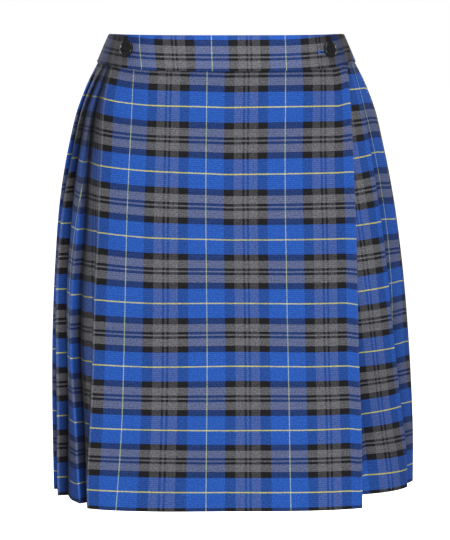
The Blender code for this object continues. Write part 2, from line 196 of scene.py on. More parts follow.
# By drop: where the middle of the thin warp pair runs on the last face, how much cloth goes to a
# length there, and how far beyond the last fold the next pale line lies
RIGHT_PERIODS = 13
RIGHT_WARPS = (
    (0.00, 0.1270, 1.03, 0.0120),
    (0.10, 0.1327, 1.03, 0.0115),
    (0.20, 0.1385, 1.05, 0.0166),
    (0.35, 0.1470, 1.08, 0.0204),
    (0.45, 0.1522, 1.08, 0.0196),
    (0.55, 0.1560, 1.09, 0.0172),
    (0.65, 0.1596, 1.09, 0.0127),
    (0.85, 0.1698, 1.02, 0.0150),
    (0.95, 0.1782, 0.88, 0.0170),
    (1.00, 0.1812, 0.86, 0.0170),
)
RETURN_WARP = 0.0140
# Share of the drop below which the second fold's pale line is folded in, and how far
LINE_HIDDEN_FROM, LINE_HIDDEN_REACH, LINE_TUCKED = 0.68, 0.08, 0.001

# How much higher a weft line lies than an even repeat measured from the hem, by drop and travel
WEFT_PERIOD = 0.0689
WEFT_AT_HEM = 0.0196
WEFT_TRAVELS = (-0.225, -0.200, -0.146, -0.139, -0.125, 0.000, 0.085, 0.139, 0.175, 0.215)
WEFT_SHIFTS = (
    (0.00, 0.0100, 0.0100, 0.0060, 0.0056, 0.0025, 0.0010, 0.0050, 0.0085, 0.0130, 0.0130),
    (0.08, 0.0085, 0.0085, 0.0042, 0.0042, 0.0015, 0.0000, 0.0034, 0.0074, 0.0110, 0.0120),
    (0.23, 0.0063, 0.0063, -0.0015, -0.0004, -0.0009, -0.0022, 0.0024, 0.0057, 0.0075, 0.0150),
    (0.38, 0.0015, 0.0015, -0.0037, -0.0033, -0.0026, -0.0028, 0.0003, 0.0036, 0.0030, 0.0077),
    (0.52, 0.0020, -0.0003, -0.0055, -0.0049, -0.0025, -0.0015, -0.0008, 0.0005, -0.0003, 0.0037),
    (0.67, 0.0035, 0.0010, -0.0020, -0.0034, -0.0010, 0.0003, -0.0002, 0.0001, -0.0005, 0.0027),
    (0.81, 0.0043, 0.0043, 0.0004, -0.0023, 0.0001, -0.0002, 0.0008, 0.0005, 0.0000, 0.0020),
    (0.96, 0.0010, 0.0010, 0.0019, -0.0006, 0.0007, 0.0013, 0.0018, 0.0017, 0.0010, 0.0015),
    (1.00, 0.0000, 0.0000, 0.0000, 0.0000, 0.0000, 0.0000, 0.0000, 0.0000, 0.0000, 0.0000),
)
# How much higher the weft comes out beyond the left fold, and how soon that is lost
WEFT_STEP = (
    (0.00, 0.0000), (0.30, 0.0000), (0.38, 0.0011), (0.52, 0.0022), (0.67, 0.0027),
    (0.81, 0.0038), (0.96, 0.0080), (1.00, 0.0085),
)
WEFT_STEP_REACH = 0.024

# Fabric lengths along the band, at its top edge and its seam, right of its middle and left
BAND_FABRIC = (
    -0.1825, -0.1633, -0.1380, -0.1127, -0.0920, 0.0, 0.0920, 0.1127, 0.1380, 0.1518, 0.1633,
)
BAND_TOP_PLACES = (
    -0.1480, -0.1250, -0.1040, -0.0815, -0.0638, 0.0159, 0.0983, 0.1150, 0.1290, 0.1340, 0.1420,
)
BAND_SEAM_PLACES = (
    -0.1480, -0.1265, -0.1055, -0.0830, -0.0650, 0.0148, 0.0931, 0.1115, 0.1285, 0.1390, 0.1460,
)
BAND_ROUND_PLACE, BAND_ROUND_FABRIC = 0.155, 7 * 0.0920 + 0.048
BAND_WARP_SCALE = 1.15
BAND_PAIR_RISE = 0.0154  # of the middle of the thin weft pair, above the seam
BAND_TURNS = 520  # columns along the band
# The band's tartan is a lighter copy, painted light where the band tilts up towards the lamps;
# painted shade darkens its sides and beside its step
BAND_PAINTED_LIGHTNESS = 1.16
BAND_SIDE_FROM, BAND_SIDE_REACH, BAND_SIDE_SHADE = 0.085, 0.055, 0.60
BAND_STEP_SHADE, BAND_STEP_REACH = 0.35, 0.012

# Yarn colours, each with how heathered it is, and the setts from line to line
DARK = (0.0160, 0.0160, 0.0185, 0.90)
WARP_YARNS = {
    "blue": (0.0275, 0.109, 0.478, 0.60),
    "dark": DARK,
    "grey": (0.145, 0.144, 0.157, 1.00),
    "line": (0.80, 0.98, 0.54, 0.40),
}
WEFT_YARNS = {
    "blue": (0.0280, 0.121, 0.533, 0.60),
    "dark": DARK,
    "grey": (0.177, 0.176, 0.193, 1.00),
    "line": (0.800, 0.785, 0.215, 0.40),
}
# Each sett is given to its middle, and runs back from there
WARP_HALF = (
    ("line", 0.0007), ("blue", 0.0200), ("dark", 0.0115), ("grey", 0.0102), ("dark", 0.0022),
    ("grey", 0.0028),
)
WEFT_HALF = (
    ("line", 0.0007), ("blue", 0.01515), ("dark", 0.0065), ("grey", 0.0086), ("dark", 0.0025),
    ("grey", 0.0020),
)
WARP_SETT, WEFT_SETT = (half + half[-2::-1] for half in (WARP_HALF, WEFT_HALF))
WARP_SHOWS = 0.35  # share of the face that is warp
TWILL_PITCH = 0.0011
ROW_PITCH = 0.0021
ROW_SHADE = 0.12
FLECK = 1.05
# Painted highlight: pressed edges mix towards the pale colour. Painted shade: folds mix towards the
# near-black one
PRESSED_PALER, FOLD_DARKER = 0.10, 0.90
PRESSED_COLOUR, FOLD_COLOUR = (0.42, 0.48, 0.58), (0.002, 0.002, 0.006)
YARN_WANDER = 0.0006
RIB_SHARE, SPECKLE_SHARE = 0.30, 0.5  # how far these change the warp's share of the face
SLOW_TONE, TONE_LEAST = 0.16, 0.15
CLOTH_ROUGH, SPECKLE_ROUGH, WORN_SMOOTH = 0.70, 0.14, 0.12

# Soft troughs and ridges: travel, top and bottom height, lean, width and how proud they are
CREASE_ENDS = 0.8
CREASES = (
    (-0.112, -0.022, -0.120, 0.010, 0.007, -0.0012),
    (-0.098, -0.020, -0.090, 0.012, 0.006, 0.0008),
    (-0.126, -0.024, -0.150, 0.004, 0.006, 0.0009),
    (0.108, -0.020, -0.110, -0.006, 0.008, -0.0010),
    (0.060, -0.030, -0.300, 0.016, 0.026, 0.0012),
    (-0.020, -0.080, -0.420, -0.012, 0.034, -0.0014),
    (-0.080, -0.160, -0.480, -0.006, 0.028, 0.0014),
    (0.118, -0.240, -0.495, 0.012, 0.024, -0.0018),
    (0.020, -0.300, -0.495, 0.008, 0.030, 0.0012),
)

CAMERA_PLACE = (-0.0015, -2.0061, -0.0294)
CAMERA_DOWN = 6.14
CAMERA_LENS, CAMERA_SENSOR = 117.7, 36.0
FLOOR, FLOOR_SIZE = -0.95, 400.0
AMBIENT = 0.075
TOP_LIGHT, TOP_SPREAD, TOP_TILT = 0.25 * pi, radians(40), radians(30)
LIGHT_AIM = (0.0, 0.0, -0.25)
LIGHTS = (
    ("key", (-0.10, -2.9, 0.00), 1.4, 31.5),
    ("fill", (0.80, -2.9, -0.30), 1.6, 27),
    ("left_side", (-2.8, -0.60, 0.10), 1.0, 4),
    ("right_side", (2.8, 0.90, 0.20), 1.4, 11),
    ("left_rear", (-1.9, 2.3, 0.30), 1.6, 34),
    ("right_rear", (1.2, 2.8, 0.10), 1.6, 36),
    ("overhead", (0.0, -0.5, 2.40), 1.2, 16),
)


def curves(table, at):
    """Each column of a table after its first, at values of the first, on smooth curves."""
    key, *columns = np.array(table).T
    at = np.clip(at, key[0], key[-1])
    i = np.clip(np.searchsorted(key, at) - 1, 0, len(key) - 2)
    step = key[i + 1] - key[i]
    t = (at - key[i]) / step
    found = []
    for value in columns:
        slope = np.gradient(value, key)
        found.append(
            (2 * t**3 - 3 * t**2 + 1) * value[i]
            + (t**3 - 2 * t**2 + t) * step * slope[i]
            + (3 * t**2 - 2 * t**3) * value[i + 1]
            + (t**3 - t**2) * step * slope[i + 1]
        )
    return found


def clipped(value):
    return np.clip(value, 0.0, 1.0)


def smooth(share):
    return share**2 * (3 - 2 * share)


def bell(distance, width, exponent=2):
    return np.exp(-((distance / width) ** exponent))


def power(value, exponent):
    return np.sign(value) * np.abs(value) ** exponent


def build_form():
    """Points at even shares round each ring, clockwise from the front, and the ring's lengths."""
    heights = np.linspace(FORM_TOP, FORM_BOTTOM, FORM_ROWS)
    half, front, back, front_n, back_n, shift = (
        column[:, None] for column in curves(RINGS, heights)
    )
    turn = np.linspace(0.0, 2 * pi, 4 * ROUND_STEPS + 1)[None, :]
    is_front = np.cos(turn) > 0
    corner = np.where(is_front, front_n, back_n)
    x = shift - half * power(np.sin(turn), 2 / corner)
    y = -np.where(is_front, front, back) * power(np.cos(turn), 2 / corner)
    arc = np.cumsum(np.hypot(np.diff(x, axis=1), np.diff(y, axis=1)), axis=1)
    arc = np.hstack([np.zeros((FORM_ROWS, 1)), arc])
    shares = np.linspace(0.0, 1.0, ROUND_STEPS + 1)
    grid = np.empty((FORM_ROWS, ROUND_STEPS + 1, 2))
    for row in range(FORM_ROWS):
        for axis, places in enumerate((x, y)):
            grid[row, :, axis] = np.interp(shares * arc[row, -1], arc[row], places[row])
    return heights, grid, arc[:, -1]


FORM_HEIGHTS, FORM_GRID, FORM_LENGTHS = build_form()


def perimeter(height):
    return np.interp(-np.asarray(height), -FORM_HEIGHTS, FORM_LENGTHS)


def ring_point(travel, height):
    """The point a clockwise length from the front centre on the ring at a height."""
    row = (FORM_TOP - height) / (FORM_TOP - FORM_BOTTOM) * (FORM_ROWS - 1)
    row = np.clip(row, 0, FORM_ROWS - 1.001)  # short of the last row, which has none below it
    column = (travel / perimeter(height)) % 1.0 * ROUND_STEPS
    i, j = row.astype(int), np.minimum(column.astype(int), ROUND_STEPS - 1)
    a, b = (row - i)[..., None], (column - j)[..., None]
    upper = FORM_GRID[i, j] * (1 - b) + FORM_GRID[i, j + 1] * b
    lower = FORM_GRID[i + 1, j] * (1 - b) + FORM_GRID[i + 1, j + 1] * b
    return upper * (1 - a) + lower * a


def left_of(direction):
    return np.stack([-direction[..., 1], direction[..., 0]], axis=-1)


def unit(vector):
    return vector / np.linalg.norm(vector, axis=-1, keepdims=True)


def ring_direction(travel, height):
    ahead = ring_point(travel + SLOPE_REACH, height)
    return unit(ahead - ring_point(travel - SLOPE_REACH, height))


def on_form(travel, height, inset):
    """A point of the form moved inwards by the inset."""
    outward = left_of(ring_direction(travel, height))
    return ring_point(travel, height) - np.asarray(inset)[..., None] * outward


def from_front(travel, total):
    """The travel from the front centre, negative towards the viewer's right."""
    return np.where(travel > total / 2, travel - total, travel)


def level(share, line):
    """The height of the band's seam or top at a share of the way round."""
    front, back, side_rise = line
    blend = (1 - np.cos(2 * pi * share)) / 2
    side = np.abs(np.sin(2 * pi * share)) ** SIDE_CURVE
    return front + (back - front) * blend + side_rise * side


def lifted(xy, z):
    """Points from their places in plan and their heights."""
    return np.concatenate([xy, z[..., None]], axis=-1)


def mean_height(drop):
    return SEAM[0] + (HEM - SEAM[0]) * drop


def cloth_height(travel, drop):
    """The height of the cloth at its travel and share of the drop, and its height over the hem."""
    height = mean_height(drop)
    for _ in range(3):
        share = travel / perimeter(height)
        hem = HEM + curves(HEM_RISE, np.maximum(share, 0.0))[0]
        seam = level(share, SEAM) - BAND_GAP
        height = seam + (hem - seam) * drop
    return height, height - hem


def pleat_edges(drop, total, second, third, last):
    """Travels of the second fold to the last one, one column each."""
    count = PLEATS - 2
    last_share = LAST_SHARE_TOP + (LAST_SHARE_HEM - LAST_SHARE_TOP) * drop
    lead = third - THIRD_SHARE * total
    trail = total - last - last_share * total
    edges = [second]
    for i in range(count + 1):
        share = THIRD_SHARE + (last_share - THIRD_SHARE) * i / count
        near_first = max(0.0, 1 - i / FREE_PLEATS)
        near_last = max(0.0, 1 - (count - i) / FREE_PLEATS)
        edges.append(share * total + lead * near_first + trail * near_last)
    return np.stack(edges, axis=1)


def fold_warps(drop, edges, tuck):
    """The fabric's own length at every fold and valley, one column each, in order."""
    after_left_fold, *others = curves(LEFT_WARPS, drop)
    warps = [WARP_PERIOD + after_left_fold] + [2 * WARP_PERIOD + place for place in others]
    pair, scale, beyond = curves(RIGHT_WARPS, drop)
    short_of_front = perimeter(cloth_height(edges[:, -1], drop)[0]) - edges[:, -1]
    last_fold = (RIGHT_PERIODS + 0.5) * WARP_PERIOD - (short_of_front - pair) * scale
    last_valley = RIGHT_PERIODS * WARP_PERIOD + beyond + tuck
    before_last = last_valley - (edges[:, -1] - edges[:, -2] + tuck)
    third = warps[-1]
    for i in range(1, PLEATS - 2):
        at = third + (before_last - third) * i / (PLEATS - 3)
        warps += [at - RETURN_WARP, at]
    return np.stack(warps + [last_valley, last_fold], axis=1), pair, scale


def weft_place(travel, drop, left, over_hem):
    """The fabric's length down from a yellow line, before the repeat is taken."""
    shifts = np.stack(curves(WEFT_SHIFTS, drop), axis=1)
    shift = np.empty_like(travel)
    for row, length in enumerate(perimeter(mean_height(drop))):
        far = length + WEFT_TRAVELS[0]
        signed = np.where(travel[row] > far, travel[row] - length, travel[row])
        shift[row] = np.interp(signed, (*WEFT_TRAVELS, far), (*shifts[row], shifts[row, 0]))
    step = curves(WEFT_STEP, drop)[0][:, None]
    beyond = travel - left[:, None]
    step = step * clipped(1 - beyond / WEFT_STEP_REACH) * (beyond > 0)
    return WEFT_AT_HEM - over_hem + shift + step


def drape(travel, height):
    """How far the soft creases stand out of the form."""
    signed = from_front(travel, perimeter(height))
    proud = np.zeros_like(travel)
    for at, top, bottom, lean, width, rise in CREASES:
        along = clipped((top - height) / (top - bottom))
        across = bell(signed - at - lean * along, width)
        proud += rise * across * np.sin(pi * along) ** CREASE_ENDS
    return proud


# ---- the path of the cloth


def apron_shares():
    """Shares of the outer apron's width, closer together at its pressed edge."""
    even = [i / APRON_STEPS for i in range(APRON_STEPS)]
    return even + [1 - step / APRON_SPAN for step in PRESSED_STEPS]


def heading(run):
    return np.arctan2(run[..., 1], run[..., 0])


def sideways(angle):
    return np.stack([-np.sin(angle), np.cos(angle)], axis=-1)


def fold_pins(drop, left, kick, edges, tuck, valley):
    """The pins that the cloth is folded round, one column each: travels, insets, heights and
    middles, +1 where the cloth passes outside and -1 inside, how deep each pin lies, and the
    cloth's headings before, between and after them."""
    opened = clipped(drop / STITCHED_REACH)
    valley = valley * (STITCHED_DEPTH + (1 - STITCHED_DEPTH) * smooth(opened))
    travels, insets, sides, deep = [left], [APRON_INSET - kick], [1], [0.0 * valley]
    for i in range(PLEATS):
        is_hidden = SEEN_LEFT <= i < PLEATS - SEEN_RIGHT
        uneven = 1 + UNEVEN * sin(UNEVEN_TURN * i + UNEVEN_START) if is_hidden else 1.0
        travels += [edges[:, i] + tuck - FOLD_RADIUS, edges[:, i] + FOLD_RADIUS]
        insets += [valley * uneven, 0.0 * valley]
        deep += [valley * uneven, 0.0 * valley]
        sides += [-1, 1]
    travels, insets, sides = np.stack(travels, axis=1), np.stack(insets, axis=1), np.array(sides)
    insets = insets + sides * (FOLD_RADIUS + MIDDLE_INSET)
    heights, _ = cloth_height(travels, drop[:, None])
    pins = on_form(travels, heights, insets)
    run = pins[:, 1:] - pins[:, :-1]
    lean = np.arcsin(2 * sides[:-1] * FOLD_RADIUS / np.linalg.norm(run, axis=-1))
    first, last = (ring_direction(travels[:, k], heights[:, k])[:, None] for k in (0, -1))
    angle = np.concatenate([heading(first), heading(run) - lean, heading(last)], axis=1)
    return travels, insets, heights, pins, sides, deep, angle


def cloth_path():
    """The middle of the cloth: points, their outward side, fabric places, how far edges are rubbed
    paler with painted highlight and how far painted shade darkens the cloth, by rows down the drop
    and columns along the cloth, and the columns where pieces are cut."""
    drop = np.linspace(-SEAM_ALLOWANCE, 1.0, DROPS)
    total = perimeter(mean_height(drop))
    left, second, third, last, edge, tuck, valley, kick = curves(FOLDS, drop)
    edges = pleat_edges(drop, total, second, third, last)
    warps, pair, lap_scale = fold_warps(drop, edges, tuck)
    travels, insets, heights, pins, sides, deep, angle = fold_pins(
        drop, left, kick, edges, tuck, valley
    )
    columns, cuts, none = [], {}, 0.0 * drop

    def put(points, height, at, fabric, worn_and_highlit=none, shaded=none):
        columns.append((points, height, at, fabric, worn_and_highlit, shaded))

    def round_pin(k, facing):
        return pins[:, k] + sides[k] * FOLD_RADIUS * sideways(facing)

    # The outer apron, from its free edge to the left fold
    lines = curves(WARP_LINES, drop)
    places = np.stack([-edge, *reversed(lines), left], axis=1)
    values = (APRON_EDGE_WARP, RIGHT_DARK_WARP, -WARP_PERIOD, 0.0, WARP_PERIOD, LEFT_FOLD_WARP)
    # The pressed left fold and the free edge are rubbed paler and given a painted highlight
    pressed = clipped((drop - PRESS_FROM) / PRESS_IN)
    pressed = pressed * np.clip((PRESS_TO - drop) / PRESS_OUT, PRESS_LEAST, 1.0)
    free_edge = FREE_EDGE_WEAR_AND_HIGHLIGHT * clipped(drop / FREE_EDGE_IN)
    for share in apron_shares():
        at = -edge + (left + edge) * share
        near = np.maximum(0.0, 1 - (left - at) / KICK_REACH)
        inset = APRON_INSET - kick * near**KICK_CURVE + MIDDLE_INSET
        height, _ = cloth_height(at, drop)
        fabric = np.array([np.interp(*row, values) for row in zip(at, places)])
        worn_and_highlit = pressed * bell(left - at, PRESSED_WIDTH)
        worn_and_highlit = worn_and_highlit + free_edge * bell(at + edge, PRESSED_WIDTH)
        put(on_form(at, height, inset), height, at, fabric, worn_and_highlit)

    # Folds and valleys, and the faces and returns between them
    behind, behind_reach, overhang_reach, first_valley, second_valley, spread, crest, low = (
        curves(LEFT_SHADES, drop)
    )
    deep[FIRST_VALLEY] = deep[FIRST_VALLEY] * first_valley
    deep[SECOND_VALLEY] = deep[SECOND_VALLEY] * second_valley
    for k in range(len(sides)):
        start, end = angle[:, k], angle[:, k + 1]
        sweep = -((start - end) % (2 * pi)) if sides[k] > 0 else (end - start) % (2 * pi)
        bend = np.abs(sweep) * FOLD_RADIUS
        depth = clipped(deep[k] / DEEP_VALLEY)
        for j in range(ARC_STEPS):
            share = j / (ARC_STEPS - 1)
            fabric = LEFT_FOLD_WARP if k == 0 and share < 0.5 else warps[:, k]
            # Crests are rubbed paler with a painted highlight; valleys get painted shade
            worn_and_highlit, shaded = none, none
            if k == 0:
                worn_and_highlit = pressed * (1 - share)
            elif sides[k] > 0:
                middle = 1 - abs(2 * share - 1)
                worn_and_highlit = none + FOLD_EDGE * (FOLD_EDGE_LEAST + (1 - FOLD_EDGE_LEAST) * middle)
            if sides[k] < 0:
                shaded = depth
            elif k in (SECOND_FOLD, THIRD_FOLD):
                shaded = crest
            spot, bent = round_pin(k, start + sweep * share), bend * (share - 0.5)
            put(spot, heights[:, k], travels[:, k], fabric + bent, worn_and_highlit, shaded)
        if k == len(sides) - 1:
            break
        a, b = round_pin(k, end), round_pin(k + 1, end)
        side = left_of(unit(b - a))
        *place, between = ((e[:, k] + e[:, k + 1]) / 2 for e in (travels, heights, insets, pins))
        bulge = np.sum((on_form(*place) - between) * side, axis=1) if sides[k] > 0 else none
        fabric_a, fabric_b = warps[:, k] + bend / 2, warps[:, k + 1] - bend / 2
        if k == SECOND_FOLD:
            hidden = clipped((drop - LINE_HIDDEN_FROM) / LINE_HIDDEN_REACH)
            fabric_b = fabric_b + (2 * WARP_PERIOD - LINE_TUCKED - fabric_b) * hidden
        is_left = k < 2 * LEFT_SHADED
        reach = overhang_reach if is_left else OVERHANG_REACH
        # Painted shade: darker towards each valley, under the next fold's overhang, behind the left
        # fold, at the left crests and on the returns
        ahead = clipped(deep[k + 1] / DEEP_VALLEY)
        face = np.linalg.norm(b - a, axis=-1)
        steps = FACE_STEPS if sides[k] > 0 else RETURN_STEPS
        for j in range(1, steps):
            t = j / steps
            bulged = bulge * 16 * t**2 * (1 - t) ** 2  # the whole bulge half way
            spot = a + (b - a) * t + side * bulged[:, None]
            height, at = (e[:, k] + (e[:, k + 1] - e[:, k]) * t for e in (heights, travels))
            if sides[k] > 0:
                cuts[k // 2, j] = len(columns)
                short_of = np.clip(travels[:, k + 2] - FOLD_RADIUS - at, 0.0, None)
                near_fold = OVERHANG_SHADE * bell(short_of, reach, OVERHANG_CURVE)
                shaded = np.maximum(ahead * t**FACE_SHADE_CURVE, near_fold)
                if k == 0:
                    shaded = np.maximum(shaded, behind * bell(t * face, behind_reach))
                elif is_left:
                    shaded = np.maximum(shaded, crest * bell(t * face, CREST_REACH))
            else:
                curl = spread if k == FIRST_VALLEY else RETURN_SHADE_CURVE
                shaded = depth * (1 - t) ** curl
            if is_left:
                shaded = 1 - (1 - shaded) * (1 - low)
            put(spot, height, at, fabric_a + (fabric_b - fabric_a) * t, none, shaded)

    # The last face, which goes under the apron's edge, and the inner apron
    start, lap = travels[:, -1], total - edge
    seam, end = total - UNDER_SEAM, total + UNDER_END
    middle_of_pair = (RIGHT_PERIODS + 0.5) * WARP_PERIOD
    lap_shade, lap_reach = curves(LAP_SHADES, drop)

    def last_face(at, inset):
        height, _ = cloth_height(at, drop)
        fabric = middle_of_pair + (at - perimeter(height) + pair) * lap_scale
        # Painted shade on the last face near and under the apron's edge
        covered = lap_shade * bell(np.clip(lap - at, 0.0, None), lap_reach, 1)
        put(on_form(at, height, inset + MIDDLE_INSET), height, at, fabric, none, covered)

    for i in range(1, LAP_STEPS + 1):
        t = i / LAP_STEPS
        last_face(start + (lap - start) * t, LAP_INSET * t**LAP_CURVE)
    for i in range(1, UNDER_STEPS + 1):
        at = lap + (end - lap) * i / UNDER_STEPS
        rise = clipped((at - lap) / (seam - lap))
        if "under" not in cuts and at.mean() >= seam.mean():
            cuts["under"] = len(columns)
        last_face(at, LAP_INSET + (UNDER_INSET - LAP_INSET) * rise)

    points, z, travel, warp, wear_and_highlight, shade = (np.stack(each, axis=1) for each in zip(*columns))
    steps = unit(np.diff(points, axis=1))
    before = np.concatenate([steps[:, :1], steps], axis=1)
    after = np.concatenate([steps, steps[:, -1:]], axis=1)
    side = left_of(unit(before + after))
    _, over_hem = cloth_height(travel, drop[:, None])
    weft = weft_place(travel, drop, left, over_hem)
    points = points + side * drape(travel, z)[..., None]
    centre = lifted(points, z)
    # Painted shade under the band's lower edge
    under_band = SEAM_SHADE * bell(np.clip(drop, 0.0, None), SEAM_SHADE_REACH, 1)[:, None]
    shade = 1 - (1 - shade) * (1 - under_band)
    return drop, centre, side, warp, weft, wear_and_highlight, shade, cuts


# ---- meshes


def add(name, data):
    """A new object of the scene."""
    obj = bpy.data.objects.new(name, data)
    bpy.context.scene.collection.objects.link(obj)
    return obj


def new_mesh(name, points, faces):
    mesh = bpy.data.meshes.new(name)
    mesh.from_pydata(points, [], faces)
    mesh.update()
    return mesh


def cloth_object(name, points, faces, fabric, wear_and_highlight, shade):
    """An object with its fabric places as a UV map, how far it is rubbed paler with painted
    highlight, and its painted shade.
    """
    mesh = new_mesh(name, points.tolist(), faces)
    layer = mesh.uv_layers.new(name="Fabric")
    loops = np.empty(len(mesh.loops), dtype=np.int32)
    mesh.loops.foreach_get("vertex_index", loops)
    layer.data.foreach_set("uv", fabric[loops].astype(np.float32).ravel())
    for label, values in (("fold_wear_and_highlight", wear_and_highlight), ("fold_shade", shade)):
        attribute = mesh.attributes.new(label, "FLOAT", "POINT")
        attribute.data.foreach_set("value", values.astype(np.float32))
    mesh.shade_smooth()
    mesh.set_sharp_from_angle(angle=CLOTH_SHARP)
    return add(name, mesh)


def shell(name, outer, inner, fabric, wear_and_highlight, shade):
    """A closed shell between two grids of points."""
    rows, columns = outer.shape[:2]
    count = rows * columns
    index = np.arange(count).reshape(rows, columns)

    def strip(a, b):
        return np.stack([a[:-1], b[:-1], b[1:], a[1:]], axis=1)

    face = np.stack([index[:-1, :-1], index[1:, :-1], index[1:, 1:], index[:-1, 1:]], axis=-1)
    face = face.reshape(-1, 4)
    quads = np.concatenate(
        [
            face,
            (face + count)[:, ::-1],
            strip(index[0] + count, index[0]),
            strip(index[-1], index[-1] + count),
            strip(index[:, 0], index[:, 0] + count),
            strip(index[:, -1] + count, index[:, -1]),
        ]
    )
    points = np.concatenate([outer.reshape(-1, 3), inner.reshape(-1, 3)])
    fabric = np.concatenate([fabric.reshape(-1, 2)] * 2)
    wear_and_highlight = np.concatenate([wear_and_highlight.ravel()] * 2)
    shade = np.concatenate([shade.ravel(), INNER_SHADE * shade.ravel()])
    return cloth_object(name, points, quads.tolist(), fabric, wear_and_highlight, shade)


def cloth_piece(name, path, start, end):
    """The stretch of the cloth between two of its columns."""
    drop, centre, side, warp, weft, wear_and_highlight, shade, _ = path
    part = slice(start, end + 1)
    middle = centre[:, part]
    out = lifted(side[:, part], 0 * middle[..., 0])
    from_hem = (1 - drop) * (SEAM[0] - HEM)
    turned_up = HEM_EXTRA * clipped((HEM_TURN_UP - from_hem) / HEM_STEP)
    halves = np.stack([CLOTH_HALF + 0 * drop, CLOTH_HALF + turned_up])
    halves[:, -1] *= EDGE_THIN
    outer, inner = (middle + s * out * half[:, None, None] for s, half in zip((1, -1), halves))
    fabric = np.stack([warp[:, part], weft[:, part]], axis=-1)
    return shell(name, outer, inner, fabric, wear_and_highlight[:, part], shade[:, part])


def band_profile():
    """Share of the band's height, rise beyond it and offset from its middle, round its section."""
    half = BAND_WALL / 2
    faces = [i / (BAND_FACE_POINTS - 1) for i in range(BAND_FACE_POINTS)]
    turns = [pi * i / BAND_CORNER_STEPS for i in range(1, BAND_CORNER_STEPS)]
    points = [(t, 0.0, half + BAND_BULGE * sin(pi * t)) for t in faces]
    points += [(1.0, BAND_CORNER * sin(a), half * cos(a)) for a in turns]
    points += [(1 - t, 0.0, -half) for t in faces]
    points += [(0.0, -BAND_CORNER * sin(a), -half * cos(a)) for a in turns]
    return points


def band():
    """One strip that goes once round and then on inside its own outer end."""
    total = float(perimeter(0.0))
    outer_end = total - BAND_END
    step_start, step_end = outer_end - BAND_STEP, outer_end - BAND_STEP_CLEAR
    travels = np.linspace(-BAND_END, total + BAND_UNDER_END, BAND_TURNS)
    share = travels / total
    low, high = level(share, SEAM), level(share, TOP)
    inside = smooth(clipped((travels - step_start) / (step_end - step_start)))
    end_gap = np.minimum(travels + BAND_END, total + BAND_UNDER_END - travels)
    thin = np.sqrt(np.clip(end_gap / BAND_END_REACH, BAND_END_LEAST, 1.0))
    # Painted shade towards the band's sides and beside its step
    aside = clipped((np.abs(from_front(travels, total)) - BAND_SIDE_FROM) / BAND_SIDE_REACH)
    step = BAND_STEP_SHADE * inside * bell(travels - outer_end, BAND_STEP_REACH)
    outside_shade = np.maximum(step, BAND_SIDE_SHADE * aside)
    far_fabric = BAND_ROUND_FABRIC + BAND_BEYOND * BAND_WARP_SCALE
    fabrics = (*BAND_FABRIC, BAND_ROUND_FABRIC, far_fabric)
    rows, fabric, shade = [], [], []
    for up, beyond, offset in band_profile():
        height = low + BAND_CORNER + (high - low - 2 * BAND_CORNER) * up + beyond
        at = share * perimeter(height)
        inset = BAND_UNDER_INSET * inside - offset * thin
        if offset > 0:
            inset = inset - band_pucker(travels, height)
        rows.append(lifted(on_form(at, height, inset), height))
        places = [s + (t - s) * up for s, t in zip(BAND_SEAM_PLACES, BAND_TOP_PLACES)]
        behind = float(perimeter(height.mean())) - BAND_ROUND_PLACE
        warp = np.interp(at, (*places, behind, behind + BAND_BEYOND), fabrics)
        weft = WEFT_PERIOD / 2 - (height - low - BAND_PAIR_RISE)
        fabric.append(np.stack([warp, weft], axis=1))
        shade.append(outside_shade if offset > 0 else 0 * step)
    grid, fabric, shade = np.stack(rows), np.stack(fabric), np.stack(shade)
    sides, columns = grid.shape[:2]
    index = np.arange(sides * columns).reshape(sides, columns)
    faces = []
    for i in range(sides):
        a, b = index[i], index[(i + 1) % sides]
        faces += np.stack([a[:-1], a[1:], b[1:], b[:-1]], axis=1).tolist()
    faces += [index[:, 0].tolist(), index[:, -1][::-1].tolist()]
    shade = shade.ravel()
    return cloth_object("band", grid.reshape(-1, 3), faces, fabric.reshape(-1, 2), 0 * shade, shade)


def band_pucker(travels, height):
    """Small puckers round the two buttons, in metres outwards."""
    proud = np.zeros_like(travels)
    for _, at, middle in BUTTONS:
        across = np.abs((travels - at) / PUCKER_SIDE) - PUCKER_AT
        proud += PUCKER * bell(across, PUCKER_WIDTH) * np.cos((height - middle) / PUCKER_RISE)
    return proud


# ---- materials


